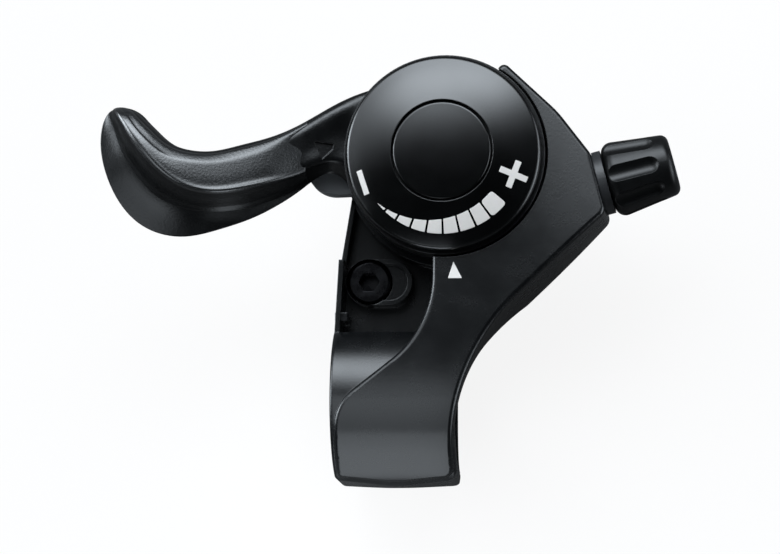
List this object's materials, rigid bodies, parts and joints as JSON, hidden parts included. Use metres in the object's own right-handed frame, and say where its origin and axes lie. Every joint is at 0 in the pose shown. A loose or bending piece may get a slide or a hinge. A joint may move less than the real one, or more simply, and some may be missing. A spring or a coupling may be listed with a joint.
{
  "type": "thumb gear shifter",
  "caption": "Friction thumb shifter for a bicycle handlebar: clamp, curved thumb lever, round dial with a scale, cable drum and cable adjuster.",
  "frame": {"origin": "centre of the handlebar clamp's bore", "axes": "+X along the handlebar towards the cable adjuster, +Y from the bar to the lever pivot, +Z out of the dial"},
  "size_m": [0.0929, 0.069, 0.0362],
  "materials": {
    "body_plastic": "fine-grained black",
    "lever_plastic": "grained satin black",
    "drum_plastic": "plain grey",
    "dial_plastic": "satin black",
    "knob_plastic": "satin black",
    "collar_plastic": "dark grey",
    "friction_plastic": "natural",
    "black_steel": "black oxide",
    "plated_steel": "zinc plated",
    "bush_brass": "turned"
  },
  "bodies": {
    "bracket": {"bracket_body": "body_plastic", "clamp_bolt": "black_steel", "clamp_washer": "black_steel", "clamp_nut": "plated_steel", "pivot_stud": "plated_steel", "pivot_screw": "plated_steel", "lower_friction_washer": "friction_plastic", "upper_friction_washer": "friction_plastic", "keyed_washer": "plated_steel", "wave_washer": "plated_steel", "adjuster_collar": "collar_plastic", "adjuster_nut": "plated_steel", "cable_guide": "collar_plastic", "adjuster_spring": "plated_steel"},
    "lever": {"thumb_lever": "lever_plastic", "cable_drum": "drum_plastic", "hub_bush": "bush_brass", "indicator_dial": "dial_plastic", "centre_cap": "dial_plastic"},
    "adjuster": {"adjuster_knob": "knob_plastic", "adjuster_screw": "plated_steel"}
  },
  "joints": [
    {"name": "lever_turn", "type": "hinge", "parent": "bracket", "child": "lever", "pos_m": [0.0086, 0.0387, 0.0071], "axis": [0, 0, 1], "range_deg": [-45, 50]},
    {"name": "adjuster_turn", "type": "hinge", "parent": "bracket", "child": "adjuster", "pos_m": [0.01121, 0.02894, 0.0071], "axis": [0.9659, 0.2588, 0], "range_deg": [-720, 720]}
  ]
}
